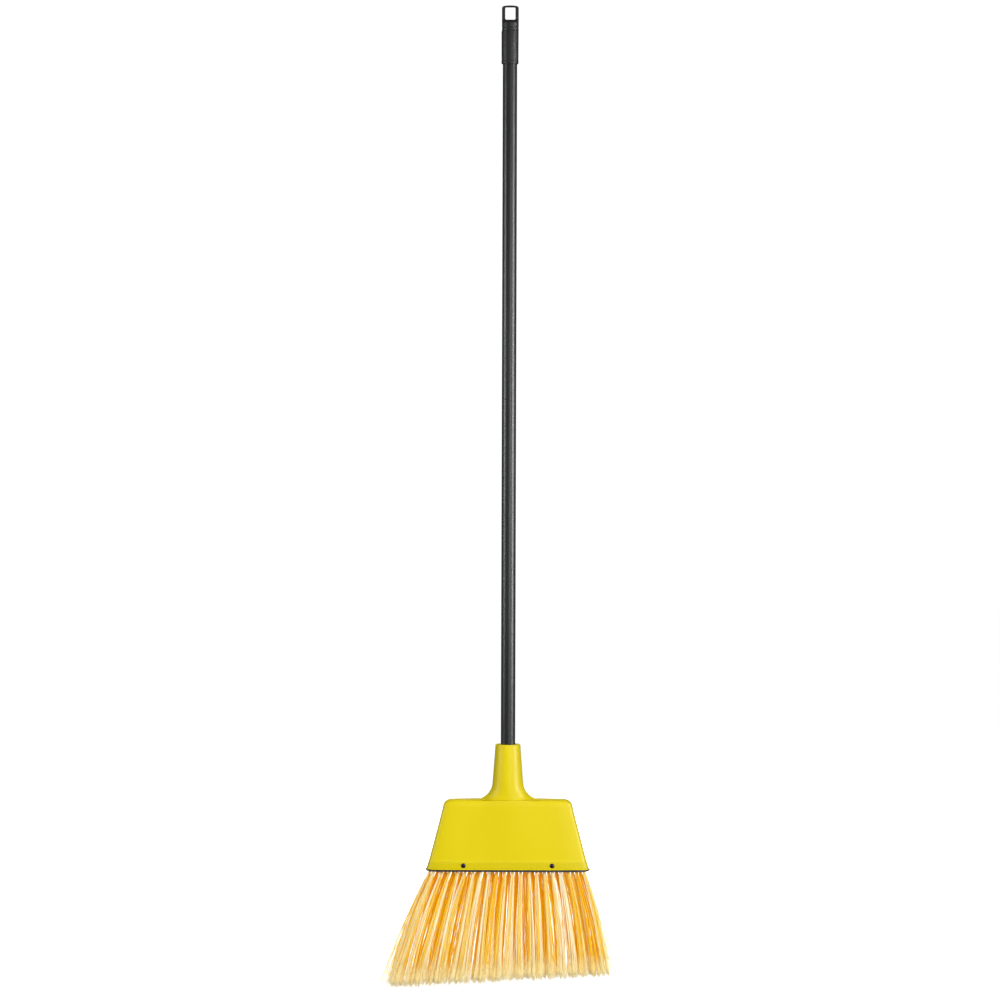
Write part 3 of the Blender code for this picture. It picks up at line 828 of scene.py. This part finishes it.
def screw(side_x, side_y):
    """A pan head screw with a cross recess, its head against the cap; side_y is -1 at the front."""
    name = ("front" if side_y < 0 else "back") + "_" + ("left" if side_x < 0 else "right")
    corners = [(0.01, -6.8, 0.0), (0.6, -6.8, 0.1), (1.5, -5.6, 0.2), (1.5, 0.0, 0.1), (SCREW_R, 0.0, 0.15),
               (SCREW_R, 0.5, 0.3), (2.7, 1.5, 0.8), (1.6, 2.15, 0.6), (0.01, 2.3, 0.0)]
    obj = turned("screw_skin_" + name, corners, OXIDE, segments=40)
    recesses = []
    for length, width in ((3.1, 0.75), (0.75, 3.1)):
        rings = []
        for z, taper in ((0.9, 0.45), (3.2, 1.0)):
            rings.append([(u * length * taper / 2, v * width * taper / 2, z)
                          for u, v in ((-1, -1), (1, -1), (1, 1), (-1, 1))])
        recesses.append(new_object("recess", points_of(rings), joined_rings(rings, False), [], smooth=None))
    cut(obj, *recesses)
    face = side_y * (flat_half_depth(SCREW_Z) + BAND_PROUD + 0.1)
    turn = Matrix.Rotation(math.pi / 2 * -side_y, 4, "X")
    spin = Matrix.Rotation(math.radians(25 + 40 * side_x), 4, "Z")
    move = Matrix.Translation(((AXIS + side_x * SCREW_X) * MM, face * MM, SCREW_Z * MM))
    obj.data.transform(Matrix.Translation((-AXIS * MM, 0.0, 0.0)))
    obj.data.transform(move @ turn @ spin)
    obj.data.shade_smooth()
    obj.data.set_sharp_from_angle(angle=math.radians(38))
    return stand_for(obj, "head", "screw_black", "screw_" + name)


# ---------------------------------------------------------------- bristles


class Brush:
    """Gathers fibres and hairs as points, faces, slots and tones, then makes one object of them."""

    def __init__(self):
        self.verts, self.faces, self.slots, self.tones, self.alongs = [], [], [], [], []

    def strand(self, path, radii, sides, slot, tone, along):
        """A closed tube along path."""
        first = len(self.verts)
        direction = (path[-1] - path[0]).normalized()
        side = direction.cross(Vector((0.0, 1.0, 0.0))).normalized()
        other = direction.cross(side)
        for point, radius, s in zip(path, radii, along):
            for k in range(sides):
                a = 2 * math.pi * k / sides
                self.verts.append(point + side * (radius * math.cos(a)) + other * (radius * math.sin(a)))
                self.tones.append(tone)
                self.alongs.append(s)
        for level in range(len(path) - 1):
            at = first + level * sides
            for k in range(sides):
                n = (k + 1) % sides
                self.faces.append((at + k, at + n, at + sides + n, at + sides + k))
        last = first + (len(path) - 1) * sides
        self.faces.append(tuple(first + k for k in reversed(range(sides))))
        self.faces.append(tuple(last + k for k in range(sides)))
        self.slots += [slot] * (len(self.faces) - len(self.slots))

    def build(self, name, body, *nodes):
        obj = new_object(name, self.verts, self.faces, [FIBRE, FLAG], self.slots, smooth=None)
        for key, values in (("tone", self.tones), ("along", self.alongs)):
            layer = obj.data.attributes.new(key, "FLOAT", "POINT")
            layer.data.foreach_set("value", values)
        return stand_for(obj, body, "bristle_orange", *nodes)


def smoothly(t):
    return t * t * (3 - 2 * t)


def fibre(brush, rng, root, tip, start, end, fan, bow, tone, ragged):
    """One bristle from inside its hole to its flagged tip.

    root and tip are the tuft's, start and end the fibre's offsets from them, and fan below 1 takes it out to
    its end offset early. A ragged fibre is longer or shorter than the trim by that much.
    """
    wave = rng.uniform(0.15, 0.75)
    turns = rng.uniform(0.6, 1.6)
    phase = rng.uniform(0, 2 * math.pi)
    heading = rng.uniform(0, 2 * math.pi)
    total = root.z - tip.z

    def at(s):
        share = 0.5 * s ** fan + 0.5 * s ** 1.7 if s > 0 else 0.0
        offset = start.lerp(end, share)
        sway = wave * math.sin(phase + turns * 2 * math.pi * s) * smoothly(min(1.0, max(0.0, s) * 2))
        point = root.lerp(tip, s) + Vector((offset.x, offset.y, 0.0))
        point.x += bow * 4 * s * (1 - s) if s > 0 else 0.0
        point.x += sway * math.cos(heading)
        point.y += sway * math.sin(heading)
        return point

    stop = 1.0 + ragged / total
    split = stop - (FLAG_LENGTH - 4.0 + rng.gauss(0.0, 6.0)) / total
    stations = [-0.06] + [split * k / (FIBRE_LEVELS - 1) for k in range(FIBRE_LEVELS)]
    path = [at(s) for s in stations]
    radii = [FIBRE_R] * (len(path) - 2) + [FIBRE_R * 1.02, FIBRE_R * 0.8]
    brush.strand(path, radii, FIBRE_SIDES, 0, tone, [max(0.0, s) for s in stations])
    for _ in range(HAIRS):
        a = rng.uniform(0, 2 * math.pi)
        spread = rng.uniform(0.4, 2.4)
        begin = Vector((math.cos(a), math.sin(a), 0.0)) * FIBRE_R * 0.55
        reach = Vector((math.cos(a), math.sin(a), 0.0)) * spread
        finish = stop - rng.uniform(0.0, 8.0) / total
        points, sizes, levels = [], [], []
        for k in range(4):
            t = k / 3
            s = split - 0.05 + (finish - split + 0.05) * t
            points.append(at(s) + begin.lerp(reach, t ** 1.3))
            sizes.append(HAIR_R * (1 - 0.45 * t))
            levels.append(s)
        low = points[-1].z
        if low < LOWEST_HAIR:
            for point in points:
                point.z += (LOWEST_HAIR - low) * (points[0].z - point.z) / (points[0].z - low)
        brush.strand(points, sizes, 3, 1, min(1.0, max(0.0, tone + rng.uniform(-0.2, 0.3))), levels)


def tuft(brush, rng, root_x, root_y, row, strays=0):
    """All the fibres of one tuft, gathered into a few locks at the tip. row is a key of the row tones, which
    paint light: pale for lit rows and deep orange for shaded ones.
    """
    tip_x, tip_y, _ = tip_place(root_x, root_y)
    root = Vector((root_x, root_y, FLANGE_BOTTOM))
    drift = max(-3.0, min(3.0, rng.gauss(0.0, 1.7)))
    tip = Vector((tip_x + drift, tip_y + rng.gauss(0.0, 1.0), trim(tip_x + drift)))
    bow = BOW * root_x / 118.0 + rng.gauss(0.0, 1.3)
    tuft_fan, root_r = (0.42, ROOT_R) if row in ("front", "edge") else (0.28, ROOT_R * 1.15)
    locks = []
    for k in range(LOCKS):
        a = 2 * math.pi * (k + rng.uniform(-0.4, 0.4)) / LOCKS
        reach = rng.uniform(0.25, 0.95)
        locks.append((Vector((math.cos(a) * TIP_HALF_WIDTH, math.sin(a) * TIP_HALF_DEPTH, 0.0)) * reach,
                      rng.gauss(0.0, 1.6), rng.uniform(-0.44, 0.44)))
    # The row's painted light tone, with a random spread for each tuft.
    painted_light_and_random_tone = ROW_PAINTED_LIGHT_TONE[row] + rng.uniform(-0.1, 0.1)
    for i in range(FIBRES + strays):
        a = i * SPIRAL
        r = math.sqrt((i % FIBRES + 0.5) / FIBRES)
        start = Vector((math.cos(a), math.sin(a), 0.0)) * r * root_r
        lock, lock_ragged, lock_tone = locks[int((a % (2 * math.pi)) / (2 * math.pi) * LOCKS) % LOCKS]
        own = Vector((math.cos(a) * TIP_HALF_WIDTH, math.sin(a) * TIP_HALF_DEPTH, 0.0)) * r
        end = lock * 0.80 + own * 0.30 + Vector((rng.gauss(0, 0.7), rng.gauss(0, 0.8), 0.0))
        if rng.random() < 0.14:
            end *= 2.0
        fan = tuft_fan
        if i >= FIBRES:
            fan = 1.0
            side = -1 if root_x < 0 else 1
            end = Vector((side * rng.uniform(8.0, 22.0), rng.uniform(-6.0, 6.0), 0.0))
        tone = min(1.0, max(0.0, rng.gauss(painted_light_and_random_tone + lock_tone, 0.15)))
        ragged = max(-4.0, min(2.0, lock_ragged + rng.gauss(0.5, 1.2)))
        fibre(brush, rng, root, tip, start, end, fan, bow, tone, ragged)


def bristles():
    """Each tuft of the front and middle rows, and the grown-together groups of the back row."""
    rng = random.Random(11)
    front, middle, back = tuft_places()
    for row, places in (("front", front), ("mid", middle)):
        for k, (root_x, root_y) in enumerate(places):
            brush = Brush()
            # The outermost tufts take the pale edge tone, painted light on the ends, and also the strays.
            outer = (row == "mid" and k == 0) or (row == "front" and k == TUFTS - 1)
            if outer:
                tuft(brush, rng, root_x, root_y, "edge", strays=STRAYS)
            else:
                tuft(brush, rng, root_x, root_y, row)
            brush.build(f"bristles_{row}_{k + 1:02d}", "head", f"tuft_{row}_{k + 1:02d}")
    first = 0
    for group, count in enumerate(BACK_GROUPS):
        brush = Brush()
        for k in range(count):
            tuft(brush, rng, *back[first + k], "back")
        brush.build(f"bristles_back_{group + 1}", "head", f"tuft_back_{group + 1}")
        first += count


# ---------------------------------------------------------------- studio


def camera():
    data = bpy.data.cameras.new("camera")
    data.sensor_width = 36.0
    data.lens = data.sensor_width * CAMERA_DISTANCE / VIEW_HEIGHT
    data.clip_end = 50.0
    obj = bpy.data.objects.new("camera", data)
    bpy.context.scene.collection.objects.link(obj)
    obj.location = (CAMERA_X * MM, -CAMERA_DISTANCE * MM, CAMERA_Z * MM)
    obj.rotation_euler = (math.pi / 2, math.radians(CAMERA_ROLL), 0.0)
    bpy.context.scene.camera = obj


def softbox(name, azimuth, elevation, distance, height, size, power):
    """An area light that looks at the broom's axis at a height in metres.

    Azimuth 0 is the camera's side and grows to the right; distance and size are in metres and power in watts.
    """
    data = bpy.data.lights.new(name, "AREA")
    data.shape = "RECTANGLE"
    data.size, data.size_y = size
    data.energy = power
    obj = bpy.data.objects.new(name, data)
    bpy.context.scene.collection.objects.link(obj)
    a, e = math.radians(azimuth), math.radians(elevation)
    away = Vector((math.sin(a) * math.cos(e), -math.cos(a) * math.cos(e), math.sin(e)))
    target = Vector((AXIS * MM, 0.0, height))
    obj.location = target + away * distance
    obj.rotation_euler = (-away).to_track_quat("-Z", "Y").to_euler()
    obj.visible_camera = False
    return obj


def room():
    """A dim white room that the camera sees as a bright backdrop."""
    world = bpy.data.worlds.new("studio")
    world.use_nodes = True
    bpy.context.scene.world = world
    nodes, links = world.node_tree.nodes, world.node_tree.links
    walls = nodes["Background"]
    walls.inputs["Color"].default_value = (1.0, 1.0, 1.0, 1.0)
    walls.inputs["Strength"].default_value = 0.12
    backdrop = nodes.new("ShaderNodeBackground")
    backdrop.inputs["Color"].default_value = (1.0, 1.0, 1.0, 1.0)
    backdrop.inputs["Strength"].default_value = 1.05
    path = nodes.new("ShaderNodeLightPath")
    mix = nodes.new("ShaderNodeMixShader")
    links.new(path.outputs["Is Camera Ray"], mix.inputs[0])
    links.new(walls.outputs[0], mix.inputs[1])
    links.new(backdrop.outputs[0], mix.inputs[2])
    links.new(mix.outputs[0], nodes["World Output"].inputs["Surface"])


def lights():
    """Strips and a panel for the tube's long highlights, and fills for even light on the matt surfaces."""
    softbox("strip_right", 68, 0, 1.9, 0.95, (0.55, 1.6), 50).visible_diffuse = False
    softbox("strip_left", -73, 0, 1.9, 1.02, (0.45, 1.4), 21).visible_diffuse = False
    softbox("panel_right", 22, 0, 2.2, 0.84, (0.7, 1.6), 15)
    for name, azimuth, elevation, power in (("front", 5, 14, 36), ("right", 55, 4, 37), ("left", -55, 4, 26),
                                            ("back", 180, 24, 108), ("top", 0, 80, 12)):
        softbox("fill_" + name, azimuth, elevation, 3.0, 0.30, (1.4, 1.1), power).visible_glossy = False


def white_floor():
    """A floor that shines as white as the backdrop but lights nothing."""
    finish = Finish("floor_white", Roughness=0.9, Emission_Strength=0.94, Emission_Color=(1.0, 1.0, 1.0, 1.0))
    finish.colour(finish.ramp(finish.noise(3.0), [(0.3, (0.60, 0.60, 0.60)), (0.7, (0.62, 0.62, 0.62))]))
    rings = []
    for z in (-FLOOR_THICK, 0.0):
        ring = []
        for k in range(64):
            a = 2 * math.pi * k / 64
            ring.append((math.cos(a) * FLOOR_RADIUS, math.sin(a) * FLOOR_RADIUS, z))
        rings.append(ring)
    floor = new_object("floor", points_of(rings), joined_rings(rings, False), [finish.material], smooth=None)
    floor.data.shade_flat()
    floor.visible_glossy = False
    floor.visible_diffuse = False


bpy.context.scene.view_settings.view_transform = "Standard"
camera()
room()
lights()
white_floor()
handle_tube()
hang_sleeve()
threaded_tip()
hang_loop()
head_cap()
bristle_block()
for side_x in (-1, 1):
    for side_y in (-1, 1):
        screw(side_x, side_y)
bristles()
